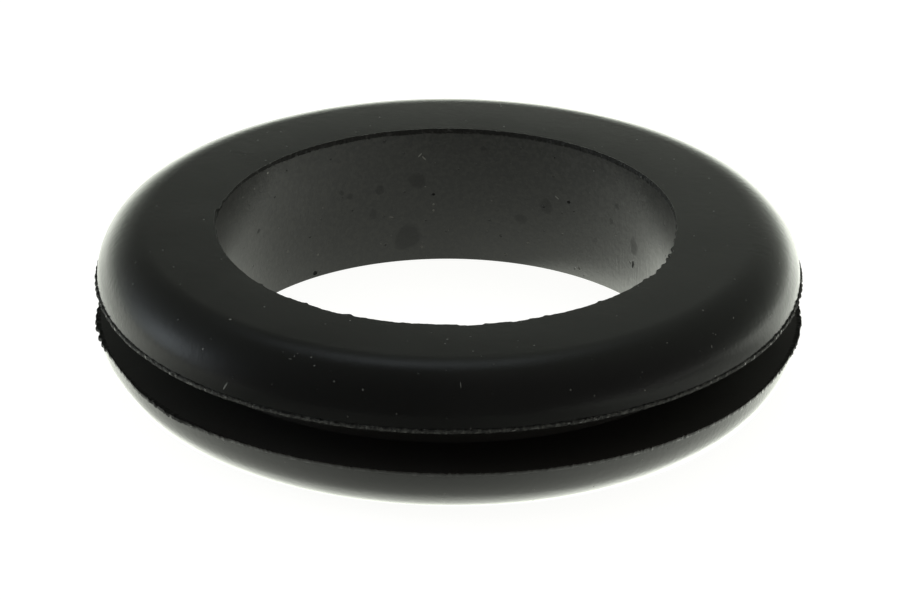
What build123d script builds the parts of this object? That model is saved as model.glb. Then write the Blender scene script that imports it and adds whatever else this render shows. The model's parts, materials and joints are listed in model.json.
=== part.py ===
"""Moulded rubber grommet, one piece.

An open ring with two equal rounded flanges. The groove between them grips the edge of a panel hole,
and a cable or hose passes through the bore. The bore's axis is Z, and the origin lies on it midway
through the groove, in the middle of the panel that the grommet is fitted to.
"""

import os

from build123d import *

# Driving dimensions, in millimetres
panel_hole_diameter = 25.0
panel_thickness = 1.8
web_thickness = 2.5
flange_overlap = 2.6
flange_thickness = 2.35

# Steep bevel round the bore's upper edge, where the flash of the mould's core pin was torn off
torn_edge_width = 0.08
torn_edge_height = 0.3

# Moulding flash, a thin tapered fin on the parting line at each flange's groove edge
flash_width = 0.11
flash_root_thickness = 0.15
flash_tip_thickness = 0.1

# Sizes that follow from the driving dimensions
groove_radius = panel_hole_diameter / 2
bore_radius = groove_radius - web_thickness
outer_radius = groove_radius + flange_overlap
ring_width = outer_radius - bore_radius
half_groove = panel_thickness / 2
half_height = half_groove + flange_thickness

# The rounded shoulder runs from each flat face down to the flash
shoulder_radius = flange_thickness - flash_root_thickness

with BuildPart() as grommet:
    with BuildSketch(Plane.XZ) as section:
        # Blank of the ring, from the bore to the rim and as tall as both flanges
        with Locations((bore_radius, 0)):
            Rectangle(ring_width, 2 * half_height, align=(Align.MIN, Align.CENTER))
        fillet(section.vertices().group_by(Axis.X)[-1], shoulder_radius)

        # Torn upper edge of the bore
        with BuildLine():
            Polyline(
                (bore_radius, half_height - torn_edge_height),
                (bore_radius + torn_edge_width, half_height),
                (bore_radius, half_height),
                close=True,
            )
        make_face(mode=Mode.SUBTRACT)

        # Panel groove, left square by the mould's middle plate
        with Locations((groove_radius, 0)):
            Rectangle(flange_overlap, panel_thickness, align=(Align.MIN, Align.CENTER), mode=Mode.SUBTRACT)

        # Flash fin on the upper flange's rim, mirrored to the lower one
        with BuildLine():
            Polyline(
                (outer_radius, half_groove),
                (outer_radius + flash_width, half_groove),
                (outer_radius + flash_width, half_groove + flash_tip_thickness),
                (outer_radius, half_groove + flash_root_thickness),
                close=True,
            )
        upper_fin = make_face()
        mirror(upper_fin, about=Plane.XZ)
    revolve(axis=Axis.Z)

grommet.part.label = "grommet"

os.makedirs("parts", exist_ok=True)
export_step(grommet.part, "parts/grommet.step")
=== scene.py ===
"""Looks of the rubber grommet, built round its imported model.

One dense mesh stands for the moulded ring. It repeats the ring's section and adds what moulding and
trimming left on it: torn flash along both flanges and a chipped edge round the bore. The rubber's
grain, dust, lint and stains are in its material. The ring lies on a white surface in a soft studio.
"""

import json
import math
from collections import namedtuple

import bpy
import numpy as np
from mathutils import Matrix, Vector


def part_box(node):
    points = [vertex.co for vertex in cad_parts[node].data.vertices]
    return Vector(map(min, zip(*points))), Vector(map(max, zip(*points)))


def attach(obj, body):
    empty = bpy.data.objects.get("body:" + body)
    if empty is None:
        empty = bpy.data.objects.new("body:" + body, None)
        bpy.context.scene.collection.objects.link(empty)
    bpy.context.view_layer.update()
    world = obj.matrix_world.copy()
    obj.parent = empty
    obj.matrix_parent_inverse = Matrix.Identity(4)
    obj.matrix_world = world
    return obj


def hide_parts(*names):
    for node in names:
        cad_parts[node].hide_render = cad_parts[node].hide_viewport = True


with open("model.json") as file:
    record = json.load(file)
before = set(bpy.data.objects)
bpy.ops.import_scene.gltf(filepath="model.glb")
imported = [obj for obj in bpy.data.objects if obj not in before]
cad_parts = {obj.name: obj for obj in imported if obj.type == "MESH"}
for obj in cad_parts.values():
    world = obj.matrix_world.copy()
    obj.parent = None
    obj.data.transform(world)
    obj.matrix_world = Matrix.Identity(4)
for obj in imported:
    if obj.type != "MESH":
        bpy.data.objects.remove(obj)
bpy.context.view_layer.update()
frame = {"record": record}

MM = 0.001

# Section of the ring, in metres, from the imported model
mounts = {mount["name"]: mount["dims"] for mount in frame["record"]["mounts"]}
lowest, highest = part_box("grommet")
bore_radius = mounts["bore"]["r_mm"] * MM
groove_radius = mounts["panel_groove"]["r_mm"] * MM
half_groove = mounts["panel_groove"]["length_mm"] * MM / 2
half_height = highest.z
flash_radius = highest.x

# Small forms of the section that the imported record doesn't name
flash_width = 0.11 * MM
flash_root_thickness = 0.15 * MM
flash_tip_thickness = 0.13 * MM
flash_droop = 0.02 * MM
torn_edge_height = 0.22 * MM
lower_edge_round = 0.04 * MM
skin = 0.01 * MM
rim_radius = flash_radius - flash_width
shoulder_radius = half_height - half_groove - flash_root_thickness
shoulder_start = rim_radius - shoulder_radius
shoulder_height = half_height - shoulder_radius

# Fineness of the mesh, and the fewest of its segments in one chip, bite or tooth
segments = 1920
shoulder_steps = 10
edge_steps = 4
least_span = 3
turn = np.linspace(0, math.tau, segments, endpoint=False)

# In the values below, a place is an angle round the ring and how far it spreads, in degrees, a length is
# the shortest and the longest along the edge, and waves are the fewest and the most in a turn.

# Torn upper edge of the bore: stepped chips and nicks, scallops, and stubs left standing between them
step_length = (0.4 * MM, 2.0 * MM)
step_depth = 0.16 * MM
nick_length = (0.12 * MM, 0.5 * MM)
nick_depth = 0.06 * MM
chipped_place = (268, 48)
flecked_place = (172, 14)
flecked_share = 1.2
scallop_length = (0.35 * MM, 1.0 * MM)
scallop_depth = 0.17 * MM
scallop_place = (338, 16)
least_bite = 0.2
stub_angles = (219, 234, 246, 293.5, 308.5, 325.5)
stub_size = 0.08 * MM
stub_spread = 0.7
fray = 0.012 * MM
edge_waves = (80, 400)

# Torn strip below that edge, at its full height at the back and right
whole_strip_place = (76, 80)
whole_strip_gain = 1.6
strip_waves = (10, 60)
strip_wave_share = 0.1
strip_fray_waves = (150, 600)
strip_fray_share = 0.15
strip_per_chip = 1.5
least_strip = 2 * skin
strip_middle_share = 0.45

# Lip that the torn edge left standing into the bore: degrees, spread and width
lips = [
    (5, 35, 0.18 * MM),
    (350, 14, 0.12 * MM),
    (78, 55, 0.06 * MM),
    (165, 45, 0.05 * MM),
]
lip_lean = 0.03 * MM
lip_ledge = 0.03 * MM

# Flash along both flanges: the share of its width that is left, and its teeth
upper_share = 0.75
lower_share = 0.45
tooth_length = (0.25 * MM, 1.1 * MM)
small_tooth = 0.03 * MM
side_tooth = 0.05 * MM
large_tooth = 0.14 * MM
large_tooth_place = (188, 8)
middle_tooth = 0.07 * MM
middle_tooth_place = (352, 11)
wide_flash = 0.15 * MM
wide_tooth = 0.06 * MM
wide_flash_place = (221, 10)

# How far the flash reaches, frays, flutters and curls
reach_share = 0.9
reach_waves = (3, 40)
reach_wave_share = 0.15
tooth_middle = 0.5
least_reach = 4 * skin
flash_fray = 0.02 * MM
edge_flutter = 0.035 * MM
flutter_waves = (200, 800)
curl = 0.03 * MM
curl_waves = (30, 200)
top_share = 0.95
top_waves = (100, 700)
top_wave_share = 0.4
middle_waves = (200, 600)

# Bulges of the lower flange's rim, as the rubber lies, drawn in where negative: degrees, spread and width
bulges = [
    (300, 35, 0.17 * MM),
    (202, 13, -0.11 * MM),
    (341, 12, -0.08 * MM),
]

random = np.random.default_rng(31)

# One ring of the mesh: its radius and height round the turn, how torn it is, and whether it is a sharp edge
Ring = namedtuple("Ring", "radius height torn sharp", defaults=(0, False))


def spans(radius, length):
    """Slices of uneven length that follow each other along one turn at a radius."""
    start = 0
    while start < segments:
        stop = start + max(least_span, int(random.uniform(*length) * segments / (math.tau * radius)))
        yield slice(start, min(stop, segments))
        start = stop


def bites(radius, length):
    """Rounded bites along one turn, of uneven length and depth, from 0 at the points between them to 1."""
    depths = np.zeros(segments)
    for span in spans(radius, length):
        across = np.linspace(-1, 1, span.stop - span.start)
        depths[span] = random.uniform(least_bite, 1) * (1 - across ** 2)
    return depths


def steps(radius, length):
    """Level stretches along one turn, more of them near 0 than near 1, with short slopes between."""
    levels = np.zeros(segments)
    for span in spans(radius, length):
        levels[span] = random.uniform(0, 1) ** 2
    return (np.roll(levels, -2) + np.roll(levels, -1) + levels + np.roll(levels, 1)) / 4


def waves(slowest, fastest):
    """A smooth random line along one turn, about from -1 to 1, from so many waves a turn to so many."""
    line = np.zeros(segments)
    for count in range(slowest, fastest + 1):
        line += random.normal() * np.cos(count * turn + random.uniform(0, math.tau))
    return line / np.abs(line).max()


def patch(degrees, spread):
    """A soft rise from 0 to 1 and back along one turn, round an angle."""
    gap = (np.degrees(turn) - degrees + 180) % 360 - 180
    return np.exp(-(gap / spread) ** 2)


def torn_bore_edge():
    """Rings of the bore's upper edge, from the wall over the torn strip to the flat face."""
    chip = step_depth * steps(bore_radius, step_length) + nick_depth * steps(bore_radius, nick_length)
    scallop = scallop_depth * patch(*scallop_place) * bites(bore_radius, scallop_length)
    chip = chip * (patch(*chipped_place) + flecked_share * patch(*flecked_place)) + scallop
    edge = bore_radius + chip + fray * waves(*edge_waves)
    for degrees, spread, width in lips:
        edge = edge - width * patch(degrees, spread)
    for degrees in stub_angles:
        edge = edge - stub_size * patch(degrees, stub_spread)
    whole = np.minimum(1, whole_strip_gain * patch(*whole_strip_place))
    whole = whole * (1 + strip_wave_share * waves(*strip_waves))
    strip = torn_edge_height * (whole + strip_fray_share * waves(*strip_fray_waves))
    strip = np.maximum(strip, strip_per_chip * chip + least_strip)
    foot = np.minimum(edge - lip_lean, bore_radius)
    middle = (foot + edge) / 2 + fray * waves(*strip_fray_waves)
    return [
        Ring(bore_radius, half_height - strip - lip_ledge, 0, True),
        Ring(foot, half_height - strip, 1, True),
        Ring(middle, half_height - strip_middle_share * strip, 1),
        Ring(edge, half_height, 1, True),
        Ring(edge + skin, half_height),
    ]


def quarter_round(radius, height, size, count, outwards):
    """Rings of a quarter round about a centre, between its level top and its upright side."""
    rings = []
    for step in range(count + 1):
        angle = math.pi / 2 * step / count
        rings.append(Ring(radius + outwards * size * math.sin(angle), height + size * math.cos(angle)))
    return rings


def plain_bore_edge():
    """Rings of the bore's lower edge, slightly rounded, from the wall to the flat face."""
    centre = bore_radius + lower_edge_round
    return quarter_round(centre, half_height - lower_edge_round, lower_edge_round, edge_steps, -1)[::-1]


def shoulder():
    """Rings of a flange's quarter-round shoulder, from the flat face down to the flash."""
    rings = quarter_round(shoulder_start, shoulder_height, shoulder_radius, shoulder_steps, 1)
    return rings[:-1] + [rings[-1]._replace(sharp=True)]


def flash(width, tooth, torn):
    """Rings of the flash and the groove behind it, of some width, with teeth of some depth, torn so much."""
    reach = width * (reach_share + reach_wave_share * waves(*reach_waves))
    reach = reach + tooth * (tooth_middle - bites(rim_radius, tooth_length))
    reach = np.maximum(reach, least_reach)
    flutter = waves(*flutter_waves)
    tip = rim_radius + reach + flash_fray * flutter
    bend = curl * waves(*curl_waves)
    top = flash_tip_thickness * (top_share + top_wave_share * waves(*top_waves)) + bend
    middle = top / 2 + fray * waves(*middle_waves)
    edge = np.minimum(edge_flutter * flutter + bend / 2 - flash_droop, middle - skin)
    return [
        Ring(rim_radius + skin, half_groove + flash_root_thickness, torn),
        Ring(tip - fray, half_groove + top, torn, True),
        Ring(tip, half_groove + middle, torn),
        Ring(tip - fray, half_groove + edge, torn, True),
        Ring(rim_radius - flash_width, half_groove, 0, True),
        Ring(groove_radius, half_groove, 0, True),
    ]


def section_rings():
    """Rings of the whole section, from the bore's upper edge round the rim and groove to its lower edge."""
    large, middle, wide = patch(*large_tooth_place), patch(*middle_tooth_place), patch(*wide_flash_place)
    toothed = np.maximum(large, middle)
    upper_tooth = small_tooth + side_tooth * toothed
    upper = torn_bore_edge() + shoulder() + flash(upper_share * flash_width, upper_tooth, 1)
    lower_width = flash_width * (lower_share + (1 - lower_share) * toothed) + wide_flash * wide
    lower_tooth = small_tooth + large_tooth * large + middle_tooth * middle + wide_tooth * wide
    *lower_rim, groove_root = shoulder() + flash(lower_width, lower_tooth, np.maximum(toothed, wide))
    bulge = sum(width * patch(degrees, spread) for degrees, spread, width in bulges)
    lower_rim = [ring._replace(radius=ring.radius + bulge) for ring in lower_rim]
    lower = plain_bore_edge() + lower_rim + [groove_root]
    return upper + [ring._replace(height=-ring.height) for ring in lower[::-1]]


def ring_mesh():
    """The whole ring as one closed mesh, with how torn each vertex is as an attribute."""
    rings = section_rings()
    points = np.zeros((len(rings), segments, 3))
    torn = np.zeros((len(rings), segments), np.float32)
    for index, ring in enumerate(rings):
        points[index, :, 0] = ring.radius * np.cos(turn)
        points[index, :, 1] = ring.radius * np.sin(turn)
        points[index, :, 2] = ring.height
        torn[index] = ring.torn
    number = np.arange(len(rings) * segments).reshape(len(rings), segments)
    along = np.roll(number, -1, axis=1)
    faces = np.stack([number, np.roll(number, -1, axis=0), np.roll(along, -1, axis=0), along], axis=-1)
    mesh = bpy.data.meshes.new("grommet_ring")
    mesh.from_pydata(points.reshape(-1, 3).tolist(), [], faces.reshape(-1, 4).tolist())
    mesh.attributes.new("torn", "FLOAT", "POINT").data.foreach_set("value", torn.ravel())
    mesh.shade_smooth()
    ends = np.zeros(2 * len(mesh.edges), np.int32)
    mesh.edges.foreach_get("vertices", ends)
    first, second = (ends // segments).reshape(-1, 2).T
    sharp = np.array([ring.sharp for ring in rings])
    mesh.edges.foreach_set("use_edge_sharp", (first == second) & sharp[first])
    return mesh


class Nodes:
    """Adds nodes to a node tree: an input takes a value, or the socket that feeds it."""

    def __init__(self, tree):
        self.tree = tree
        tree.nodes.clear()

    def add(self, kind, inputs=None, **settings):
        node = self.tree.nodes.new(kind)
        for name, value in settings.items():
            setattr(node, name, value)
        for name, value in (inputs or {}).items():
            if isinstance(value, bpy.types.NodeSocket):
                self.tree.links.new(value, node.inputs[name])
            else:
                node.inputs[name].default_value = value
        return node

    def math(self, operation, *values):
        return self.add("ShaderNodeMath", dict(enumerate(values)), operation=operation).outputs[0]

    def vector(self, operation, *values):
        """The vector that a vector operation gives."""
        node = self.add("ShaderNodeVectorMath", dict(enumerate(values)), operation=operation)
        return node.outputs["Vector"]

    def measure(self, operation, *values):
        """The number that a vector operation gives."""
        node = self.add("ShaderNodeVectorMath", dict(enumerate(values)), operation=operation)
        return node.outputs["Value"]

    def ramp(self, value, low, high, start=0.0, stop=1.0):
        """Smooth step of a value, from start at low to stop at high."""
        inputs = {"Value": value, "From Min": low, "From Max": high, "To Min": start, "To Max": stop}
        return self.add("ShaderNodeMapRange", inputs, interpolation_type="SMOOTHSTEP").outputs[0]

    def noise(self, place, scale, detail):
        inputs = {"Vector": place, "Scale": scale, "Detail": detail}
        return self.add("ShaderNodeTexNoise", inputs).outputs["Fac"]

    def product(self, first, *others):
        """The product of several sockets or values."""
        result = first
        for value in others:
            result = self.math("MULTIPLY", result, value)
        return result

    def largest(self, values):
        """The largest of several sockets."""
        result = values[0]
        for value in values[1:]:
            result = self.math("MAXIMUM", result, value)
        return result

    def rest(self, share):
        """What a share leaves of 1."""
        return self.math("SUBTRACT", 1.0, share)

    def colour(self, share, first, second):
        """A colour between two, by a share."""
        inputs = {"Factor": share, "A": first, "B": second}
        return self.add("ShaderNodeMix", inputs, data_type="RGBA").outputs["Result"]


# Zones of the rubber's surface, in mm: radii of the bore's wall and of the rim, and heights
wall = bore_radius / MM
upper_face = half_height / MM
groove_edge = half_groove / MM
wall_zone = (wall + 0.02, wall + 0.06)
wall_top_zone = (upper_face - 0.02, upper_face - 0.01)
rim_zone = (wall + 1, wall + 2)
upper_zone = (-0.1, 0.1)
groove_zone = (groove_edge, groove_edge + 0.02)

# Marks on the rubber: degrees round the ring, radius, height, half width, half height (mm) and tilt (degrees)
stains = [
    (98, wall, 0.75, 0.5, 0.42, 0),
    (110, wall, -0.75, 0.27, 0.33, 0),
    (101, wall, -2.05, 0.66, 0.8, 15),
    (108, wall, 0.4, 0.28, 0.3, 0),
    (116, wall, 0.3, 0.2, 0.2, 0),
    (64, wall, -0.15, 0.35, 0.45, 0),
    (71, wall, -1.0, 0.33, 0.3, 0),
    (35, wall, -0.6, 0.34, 0.45, 0),
    (42, wall, 0.9, 0.2, 0.2, 0),
    (44, wall, 0.1, 0.15, 0.2, 0),
    (49, wall, -1.2, 0.2, 0.2, 0),
    (119, wall, 0.6, 0.13, 0.14, 0),
    (147, wall, 0.25, 0.16, 0.16, 0),
    (81, wall, 2.3, 0.14, 0.13, 0),
]
dark_marks = [
    (35, wall, -1.45, 0.08, 0.2, 8),
    (57.5, wall, 0.35, 0.1, 0.09, 0),
    (94, wall, 0.0, 0.09, 0.07, 0),
    (127, wall, -3.0, 0.14, 0.12, 0),
]
pale_marks = [
    (105, wall, -1.0, 0.12, 0.05, 20),
    (97, wall, -2.6, 0.08, 0.08, 0),
    (136, wall, -1.45, 0.08, 0.07, 0),
    (126, wall, -2.15, 0.08, 0.07, 0),
    (143, wall, 2.8, 0.08, 0.07, 0),
    (97.5, wall, 1.95, 0.04, 0.16, 40),
    (96.5, wall, 1.8, 0.04, 0.16, -40),
    (94, wall, -0.5, 0.06, 0.06, 0),
    (94, wall, -0.8, 0.06, 0.06, 0),
    (75, wall, -2.85, 0.08, 0.08, 0),
    (69, wall, -2.1, 0.08, 0.07, 0),
    (54, wall, -2.8, 0.08, 0.08, 0),
    (61, wall, 0.4, 0.15, 0.04, 35),
    (202, 14.2, 2.75, 0.07, 0.07, 0),
    (227, 13.1, 3.25, 0.07, 0.07, 0),
    (230, 14.95, 1.6, 0.07, 0.07, 0),
    (237, 14.95, 1.45, 0.06, 0.06, 0),
    (233, 15, 1.4, 0.04, 0.26, -28),
    (243, 13.95, 2.9, 0.16, 0.035, 0),
    (243.5, 13.9, 2.95, 0.035, 0.08, 0),
    (247.5, 14.1, 2.85, 0.07, 0.04, 20),
    (250.5, 14.1, 2.8, 0.07, 0.05, 0),
    (250, 13.8, 3.0, 0.05, 0.05, 0),
    (255, 14.2, 2.75, 0.07, 0.05, 0),
    (256.5, 14.6, 2.35, 0.06, 0.09, 20),
    (263, 14.7, 2.1, 0.06, 0.06, 0),
    (270, 14.45, 2.5, 0.06, 0.06, 0),
    (272, 14.3, 2.6, 0.03, 0.2, 5),
    (317, 14.65, 2.25, 0.05, 0.12, -30),
    (325, 14.3, 2.7, 0.08, 0.025, 20),
    (335, 14.7, 2.1, 0.05, 0.05, 0),
    (250, 14.95, -1.5, 0.09, 0.08, 0),
    (268, 14.5, -2.45, 0.07, 0.06, 0),
]
stain_softness = 0.35
stain_strength = 0.74
stain_wander = 0.15
wander_scale = 1.6
mark_softness = 0.5

# Scattered specks: cells in a mm and radius in mm, their solid share, and how rare the strong ones are
pin_specks = (2.1, 0.06)
pin_strength = 0.4
dust_specks = (2.0, 0.05)
speck_core = 0.5
speck_rarity = 3.5

# Noise over the surface: its waves in a mm and its detail, and the values between which a zone of it fades in
crumb_noise = (7.0, 3.0)
crumb_zone = (0.42, 0.62)
painted_glint_noise = (6.0, 3.0)
painted_glint_zone = (0.5, 0.75)
coarse_grain = (3.5, 2.0)
coarse_share = 1.2
fine_grain = (8.0, 3.0)
cloud_noise = (0.35, 3.0)
cloud_zone = (0.3, 0.7)
film_noise = (4.5, 3.0)
film_zone = (0.38, 0.66)
wet_noise = (5.0, 2.0)
wet_zone = (0.55, 0.65)
streak_noise = (1.0, 2.0)
streak_stretch = (8, 8, 0.5)
drawn_zone = (4, 8.5)

black = (0.006, 0.0061, 0.0058, 1)
film_grey = (0.019, 0.019, 0.017, 1)
# Groove: a paler, brownish grey that is painted light in the groove's shade
groove_painted_light_grey = (0.0155, 0.014, 0.0122, 1)
torn_black = (0.0125, 0.0125, 0.0115, 1)
crumb_grey = (0.03, 0.03, 0.027, 1)
# Painted highlights: pale specks for the glints on the upper flash
painted_glint_grey = (0.065, 0.065, 0.06, 1)
# Dust in its own pale grey; on the bore's wall it is written twice as pale, painted light for the wall's
# dimmer light
dust_grey = (0.12, 0.12, 0.11, 1)
wall_dust_and_painted_light_grey = (0.24, 0.24, 0.22, 1)
# Near-black: the stains' own colour, and painted shade in the dented pits
stain_and_pit_shade_black = (0.001, 0.001, 0.001, 1)

# Roughness of the plain rubber, and what each zone and mark adds to it
plain_roughness = (0.18, 0.24)
wall_roughness = 0.12
stain_roughness = 0.24
torn_roughness = 0.6
lint_roughness = 0.5
pit_roughness = 0.6
groove_roughness = 0.5
rubber_ior = 1.38

# Height of the grain, and how many times as deep pits and as high torn rubber are
grain_height = 0.006 * MM
pit_depth = 10.0
torn_height = 7.0


def spot(nodes, place_mm, mark, soft):
    """1 on a mark and 0 off it, with an edge as soft as a share of its size."""
    degrees, radius, height, half_width, half_tall, tilt = mark
    angle = math.radians(degrees)
    inputs = {
        "Vector": place_mm,
        "Location": (radius * math.cos(angle), radius * math.sin(angle), height),
        "Rotation": (math.radians(tilt), 0, angle),
        "Scale": (max(half_width, half_tall), half_width, half_tall),
    }
    local = nodes.add("ShaderNodeMapping", inputs, vector_type="TEXTURE").outputs[0]
    return nodes.ramp(nodes.measure("LENGTH", local), 1 - soft, 1, 1, 0)


def specks(nodes, place_mm, scale, radius):
    """Small round specks scattered over the surface, each of its own strength from 0 to 1."""
    cells = nodes.add("ShaderNodeTexVoronoi", {"Vector": place_mm, "Scale": scale}).outputs
    chance = nodes.add("ShaderNodeSeparateColor", {0: cells["Color"]}).outputs[0]
    inside = nodes.ramp(cells["Distance"], speck_core * radius * scale, radius * scale, 1, 0)
    return nodes.product(nodes.math("POWER", chance, speck_rarity), inside)


def rubber():
    """Satin black moulded rubber with a fine grain, stains on the bore's wall, dust and lint."""
    material = bpy.data.materials.new("moulded_rubber")
    material.use_nodes = True
    nodes = Nodes(material.node_tree)
    place = nodes.add("ShaderNodeTexCoord").outputs["Object"]
    place_mm = nodes.vector("MULTIPLY", place, (1 / MM, 1 / MM, 1 / MM))
    radius = nodes.measure("LENGTH", nodes.vector("MULTIPLY", place_mm, (1, 1, 0)))
    x, _, z = nodes.add("ShaderNodeSeparateXYZ", {0: place_mm}).outputs

    # Zones of the surface
    torn = nodes.add("ShaderNodeAttribute", attribute_name="torn").outputs["Fac"]
    on_wall = nodes.product(nodes.ramp(radius, *wall_zone, 1, 0), nodes.ramp(z, *wall_top_zone, 1, 0))
    at_rim = nodes.ramp(radius, *rim_zone)
    on_upper_flash = nodes.product(torn, at_rim, nodes.ramp(z, *upper_zone))
    in_groove = nodes.product(at_rim, nodes.ramp(nodes.math("ABSOLUTE", z), *groove_zone, 1, 0))

    # Stains, pits, dust and lint; the pits' near-black colour is painted shade
    wander = {"Vector": place_mm, "Scale": wander_scale}
    wander = nodes.add("ShaderNodeTexNoise", wander, normalize=False).outputs["Color"]
    ragged = nodes.vector("MULTIPLY_ADD", wander, (stain_wander, stain_wander, stain_wander), place_mm)
    stain = nodes.largest([spot(nodes, ragged, mark, stain_softness) for mark in stains])
    stain = nodes.product(stain, stain_strength)
    pins = nodes.product(on_wall, pin_strength, specks(nodes, place_mm, *pin_specks))
    pit = nodes.largest([pins] + [spot(nodes, place_mm, mark, mark_softness) for mark in dark_marks])
    dust = nodes.product(specks(nodes, place_mm, *dust_specks), nodes.rest(in_groove))
    lint = nodes.largest([dust] + [spot(nodes, place_mm, mark, mark_softness) for mark in pale_marks])

    # Crumbs and painted glints (pale specks that stand for highlights) on the flash, the grain, and the film
    # and drawn lines on the wall
    crumbs = nodes.ramp(nodes.noise(place_mm, *crumb_noise), *crumb_zone)
    painted_glint = nodes.product(nodes.ramp(nodes.noise(place_mm, *painted_glint_noise), *painted_glint_zone), on_upper_flash)
    coarse, fine = nodes.noise(place_mm, *coarse_grain), nodes.noise(place_mm, *fine_grain)
    grain = nodes.math("MULTIPLY_ADD", coarse, coarse_share, fine)
    film = nodes.product(on_wall, nodes.ramp(nodes.noise(place_mm, *film_noise), *film_zone))
    streak = nodes.noise(nodes.vector("MULTIPLY", place_mm, streak_stretch), *streak_noise)
    drawn = nodes.product(on_wall, streak, nodes.ramp(x, *drawn_zone))

    # The plain rubber is unevenly glossy, and the torn rubber is matt but for wet-looking spots
    roughness = nodes.ramp(nodes.noise(place_mm, *cloud_noise), *cloud_zone, *plain_roughness)
    wet = nodes.ramp(nodes.noise(place_mm, *wet_noise), *wet_zone)
    for share, amount in (
        (on_wall, wall_roughness),
        (stain, stain_roughness),
        (nodes.product(torn, nodes.rest(wet)), torn_roughness),
        (lint, lint_roughness),
        (pit, pit_roughness),
        (in_groove, groove_roughness),
    ):
        roughness = nodes.math("MULTIPLY_ADD", share, amount, roughness)

    colour = nodes.colour(film, black, film_grey)
    # Painted light: the groove's shade is lifted by a paler grey
    colour = nodes.colour(in_groove, colour, groove_painted_light_grey)
    colour = nodes.colour(torn, colour, torn_black)
    colour = nodes.colour(on_upper_flash, colour, nodes.colour(crumbs, black, crumb_grey))
    # Painted highlights on the upper flash
    colour = nodes.colour(painted_glint, colour, painted_glint_grey)
    # Dust and lint; on the wall paler, with painted light
    colour = nodes.colour(lint, colour, nodes.colour(on_wall, dust_grey, wall_dust_and_painted_light_grey))
    # Stains in their own near-black, and painted shade in the pits
    colour = nodes.colour(nodes.math("MAXIMUM", pit, stain), colour, stain_and_pit_shade_black)

    relief = nodes.math("ADD", drawn, grain)
    relief = nodes.math("MULTIPLY_ADD", pit, -pit_depth, relief)
    relief = nodes.math("MULTIPLY_ADD", nodes.product(torn, grain), torn_height, relief)
    bump = nodes.add("ShaderNodeBump", {"Height": relief, "Strength": 1.0, "Distance": grain_height})
    shader = nodes.add("ShaderNodeBsdfPrincipled", {
        "Base Color": colour,
        "Roughness": roughness,
        "IOR": rubber_ior,
        "Normal": bump.outputs[0],
    })
    nodes.add("ShaderNodeOutputMaterial", {"Surface": shader.outputs[0]})
    return material


def make_ring():
    """The ring in its place, riding on the part's one body."""
    ring = bpy.data.objects.new("grommet_ring", ring_mesh())
    bpy.context.scene.collection.objects.link(ring)
    ring.data.materials.append(rubber())
    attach(ring, "root")
    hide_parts("grommet")


# The studio lights matt surfaces at a plain level, and looks this much dimmer in gloss
plain_gain = 4

# White surface: its size, its colour, and its glow to the camera and in gloss; its glow and tint in gloss are
# a painted reflection
floor_reach = 1.5
floor_gap = 0.01 * MM
floor_glow = 0.94
gloss_glow = 1.55
paper_white = (0.8, 0.8, 0.78, 1)
paper_dark = (0, 0, 0, 1)
camera_tint = (1, 1, 0.985, 1)
gloss_tint = (0.965, 1, 0.9, 1)

# Painted light and shade in its glow in gloss, in mm from the ring's middle, and by how much: painted shade
# in the bore, painted light behind, and dimmer far aside
bore_shade_share = 0.52
bore_shade_middle = (-1.5, -2, 0)
bore_shade_zone = (4, 15)
back_gain = 1.3
back_zone = (8, 30)
far_zone = (22, 110)
far_share = 0.55

# In front: painted dark, but with painted light along the rim and under it, at both sides (by y over radius)
# and to the right
front_share = 0.07
near_zone = (15, 26)
near_gain = 1.05
contact_zone = (14.6, 15.3)
contact_gain = 1.8
under_zone = (10.5, 12.5)
aside_zone = (3, 12)
aside_gain = 1.35
side_start = (-0.75, -0.3)
side_full = 0.28
side_change = (-5, 5)
right_slant = 0.5
right_zone = (0, 22)
right_share = 0.32

# Painted light to the right, outside the bore and in it, and painted shade under the ring's flat face
right_start = (-2, 8)
right_gain = 1.3
corner_start = (12.1, 14)
corner_gain = 2.6
bore_right_start = (-1, 3)
bore_right_gain = 1.18
face_start = (10.1, 10.4)
face_stop = (13.3, 12.9)
face_share = 0.22


def painted_floor_gloss(nodes, place_mm):
    """How bright the white surface's glow is in gloss, by place: painted light and shade for its reflections.
    """
    x, y, _ = nodes.add("ShaderNodeSeparateXYZ", {0: place_mm}).outputs
    radius = nodes.measure("LENGTH", place_mm)
    aside = nodes.math("ABSOLUTE", x)
    painted_bore_shade = nodes.ramp(nodes.measure("DISTANCE", place_mm, bore_shade_middle), *bore_shade_zone, bore_shade_share, 1.0)
    back = nodes.ramp(y, *back_zone, 1.0, back_gain)
    far = nodes.ramp(aside, *far_zone, 1.0, far_share)

    near = nodes.ramp(radius, *near_zone, near_gain, front_share)
    contact = nodes.ramp(radius, *contact_zone, contact_gain, 1.0)
    contact = nodes.math("MINIMUM", contact, nodes.ramp(radius, *under_zone, 1.0, contact_gain))
    near = nodes.product(near, contact, nodes.ramp(aside, *aside_zone, 1.0, aside_gain))
    start = nodes.ramp(x, *side_change, *side_start)
    side = nodes.ramp(nodes.math("DIVIDE", y, radius), start, side_full, front_share, 1.0)
    slanted = nodes.math("MULTIPLY_ADD", y, right_slant, x)
    right = nodes.ramp(slanted, *right_zone, front_share, right_share)
    front = nodes.largest([near, side, right])

    corner = nodes.ramp(nodes.math("ADD", x, y), *corner_start, 1.0, corner_gain)
    corner = nodes.product(corner, nodes.ramp(x, *bore_right_start, 1.0, bore_right_gain))
    painted_light_right = nodes.ramp(x, *right_start, 1.0, right_gain)
    painted_light_right = nodes.ramp(radius, *under_zone, corner, painted_light_right)
    under_face = nodes.product(nodes.ramp(radius, *face_start), nodes.ramp(radius, *face_stop))
    painted_shade_under_face = nodes.math("MULTIPLY_ADD", under_face, face_share - 1, 1.0)
    return nodes.product(far, painted_bore_shade, back, front, painted_light_right, painted_shade_under_face)


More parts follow.
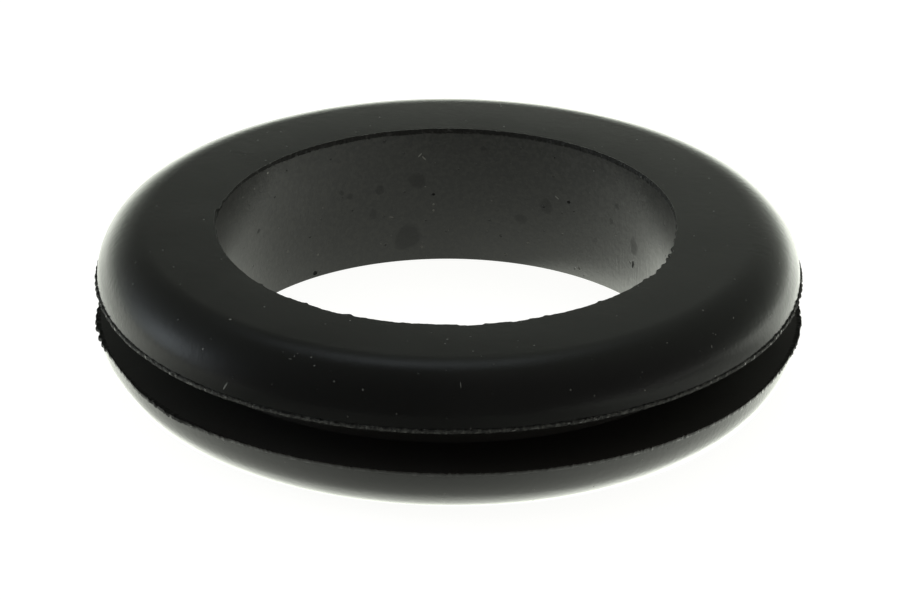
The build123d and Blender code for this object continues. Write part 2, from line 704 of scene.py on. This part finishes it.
def make_floor():
    """A white surface that keeps the ring's shadow. In gloss its glow is painted light and shade: dimmer in
    the bore and far in front.

    It is open from below, so that the ring's underside can be looked at.
    """
    mesh = bpy.data.meshes.new("floor")
    corners = [(-1, -1), (1, -1), (1, 1), (-1, 1)]
    height = lowest.z - floor_gap
    mesh.from_pydata([(x * floor_reach, y * floor_reach, height) for x, y in corners], [], [(0, 1, 2, 3)])
    floor = bpy.data.objects.new("floor", mesh)
    bpy.context.scene.collection.objects.link(floor)
    material = bpy.data.materials.new("white_surface")
    material.use_nodes = True
    material.cycles.emission_sampling = "NONE"
    nodes = Nodes(material.node_tree)
    place = nodes.add("ShaderNodeTexCoord").outputs["Object"]
    level = painted_floor_gloss(nodes, nodes.vector("MULTIPLY", place, (1 / MM, 1 / MM, 0)))

    # The paper is lit like any matt surface, less the studio's gain, and is dimmed in gloss where its glow
    # is, with the same painted shade
    path = nodes.add("ShaderNodeLightPath").outputs
    in_gloss = nodes.math("MAXIMUM", path["Is Glossy Ray"], path["Is Transmission Ray"])
    dimming = nodes.math("SUBTRACT", nodes.math("MINIMUM", level, 1.0), 1.0)
    lit = nodes.math("MULTIPLY_ADD", in_gloss, dimming, 1.0)
    gain = nodes.math("MULTIPLY_ADD", path["Is Diffuse Ray"], 1 - plain_gain, plain_gain)
    lit = nodes.math("DIVIDE", lit, gain)
    paper = nodes.add("ShaderNodeBsdfDiffuse", {"Color": nodes.colour(lit, paper_dark, paper_white)})

    # Painted light and shade: the glow seen in gloss, by place
    gloss = nodes.product(in_gloss, gloss_glow, level)
    glow = nodes.math("MULTIPLY_ADD", path["Is Camera Ray"], floor_glow, gloss)
    tint = nodes.colour(path["Is Camera Ray"], gloss_tint, camera_tint)
    light = nodes.add("ShaderNodeEmission", {"Color": tint, "Strength": glow})
    both = nodes.add("ShaderNodeAddShader", {0: paper.outputs[0], 1: light.outputs[0]})
    below = nodes.add("ShaderNodeNewGeometry").outputs["Backfacing"]
    clear = nodes.add("ShaderNodeBsdfTransparent")
    surface = nodes.add("ShaderNodeMixShader", {0: below, 1: both.outputs[0], 2: clear.outputs[0]})
    nodes.add("ShaderNodeOutputMaterial", {"Surface": surface.outputs[0]})
    mesh.materials.append(material)


# Brightness of the studio: a dim room, and a pale backdrop low behind the ring that runs on to both sides.
# Depths run from -1 in front to 1 behind, and angles are degrees to the right from straight behind.
front_level = 0.1
back_level = 0.226
room_zone = (-0.7, 0.6)
left_zone = (-8, 6)
left_share = 0.46
right_room_share = 1.07
far_left_zone = (-45, -15)
far_left_gain = 1.3
backdrop_level = 1.8
backdrop_width = 38
side_level = 0.7
side_rise = (-80, -40)
side_fall = (160, 100)
left_level = 0.45
left_rise = (-130, -95)
left_fall = (-20, -60)
horizon_fade = 7
front_tint = (1.0, 0.98, 0.94, 1)
studio_tint = (0.94, 1.0, 0.88, 1)
tint_zone = (-0.4, 0.4)

# Soft windows: degrees from straight behind the ring, degrees above the floor, spread in degrees, brightness
windows = [
    (-81, 13, 10, 1.5),
    (-69, 16, 16, 0.48),
    (-6, 60, 7.5, 0.75),
]
window_tint = (0.84, 0.93, 1.0, 1)


def soft_window(nodes, direction, window):
    """A soft round patch of light in one direction."""
    azimuth, height, spread = (math.radians(angle) for angle in window[:3])
    level = math.cos(height)
    middle = (math.sin(azimuth) * level, math.cos(azimuth) * level, math.sin(height))
    facing = nodes.measure("DOT_PRODUCT", direction, middle)
    fade = nodes.math("EXPONENT", nodes.math("DIVIDE", nodes.math("SUBTRACT", facing, 1.0), spread ** 2))
    return nodes.product(fade, window[3])


def make_world():
    """Soft studio: a dim room with a pale backdrop low behind the ring, and soft windows."""
    world = bpy.data.worlds.new("studio")
    bpy.context.scene.world = world
    world.use_nodes = True
    world.cycles.sampling_method = "NONE"
    nodes = Nodes(world.node_tree)
    direction = nodes.add("ShaderNodeTexCoord").outputs["Generated"]
    x, y, z = nodes.add("ShaderNodeSeparateXYZ", {0: direction}).outputs
    height = nodes.math("DEGREES", nodes.math("ARCSINE", z))
    azimuth = nodes.math("DEGREES", nodes.math("ARCTAN2", x, y))
    room = nodes.product(
        nodes.ramp(y, *room_zone, front_level, back_level),
        nodes.ramp(azimuth, *left_zone, left_share, right_room_share),
        nodes.ramp(azimuth, *far_left_zone, far_left_gain, 1.0),
    )

    # The backdrop is brightest straight behind the ring, and fades with height
    across = nodes.math("DIVIDE", nodes.math("ABSOLUTE", azimuth), backdrop_width)
    across = nodes.product(nodes.math("POWER", across, 2.0), -1.0)
    backdrop = nodes.product(nodes.math("EXPONENT", across), backdrop_level)
    side = nodes.product(nodes.ramp(azimuth, *side_rise), nodes.ramp(azimuth, *side_fall))
    backdrop = nodes.math("MULTIPLY_ADD", side, side_level, backdrop)
    left = nodes.product(nodes.ramp(azimuth, *left_rise), nodes.ramp(azimuth, *left_fall))
    backdrop = nodes.math("MULTIPLY_ADD", left, left_level, backdrop)
    fade = nodes.math("EXPONENT", nodes.math("DIVIDE", nodes.math("MAXIMUM", height, 0.0), -horizon_fade))
    level = nodes.math("MULTIPLY_ADD", backdrop, fade, room)

    # Matt surfaces get the plain level, and the camera sees white
    path = nodes.add("ShaderNodeLightPath").outputs
    gain = nodes.math("MULTIPLY_ADD", path["Is Diffuse Ray"], plain_gain - 1, 1.0)
    strength = nodes.math("MAXIMUM", nodes.product(level, gain), path["Is Camera Ray"])
    tint = nodes.colour(nodes.ramp(y, *tint_zone), front_tint, studio_tint)
    studio = nodes.add("ShaderNodeBackground", {"Color": tint, "Strength": strength}).outputs[0]
    for window in windows:
        light = nodes.product(soft_window(nodes, direction, window), gain)
        glow = nodes.add("ShaderNodeBackground", {"Color": window_tint, "Strength": light}).outputs[0]
        studio = nodes.add("ShaderNodeAddShader", {0: studio, 1: glow}).outputs[0]
    nodes.add("ShaderNodeOutputWorld", {"Surface": studio})


# The photograph's view of the ring, in its pixels where no unit is given
image_width = 900
view_focal = 4499
view_elevation = math.radians(25.65)
view_distance = 194.1 * MM
view_roll = math.radians(0.18)
ring_above_centre = 10.1
ring_left_of_centre = 1.4

# The camera's sensor in mm, and the nearest that it sees in metres
sensor_width = 36
nearest_view = 0.01


def make_camera():
    """A long lens that looks down on the ring from the front."""
    data = bpy.data.cameras.new("camera")
    data.sensor_width = sensor_width
    data.lens = sensor_width * view_focal / image_width
    data.clip_start = nearest_view
    camera = bpy.data.objects.new("camera", data)
    place = Vector((0, -math.cos(view_elevation), math.sin(view_elevation))) * view_distance
    pitch = math.pi / 2 - view_elevation - math.atan(ring_above_centre / view_focal)
    yaw = -math.atan(ring_left_of_centre / view_focal)
    aim = Matrix.Rotation(pitch, 4, "X") @ Matrix.Rotation(yaw, 4, "Y") @ Matrix.Rotation(view_roll, 4, "Z")
    camera.matrix_world = Matrix.Translation(place) @ aim
    bpy.context.scene.collection.objects.link(camera)
    bpy.context.scene.camera = camera


make_ring()
make_floor()
make_world()
make_camera()
bpy.context.scene.view_settings.view_transform = "Standard"
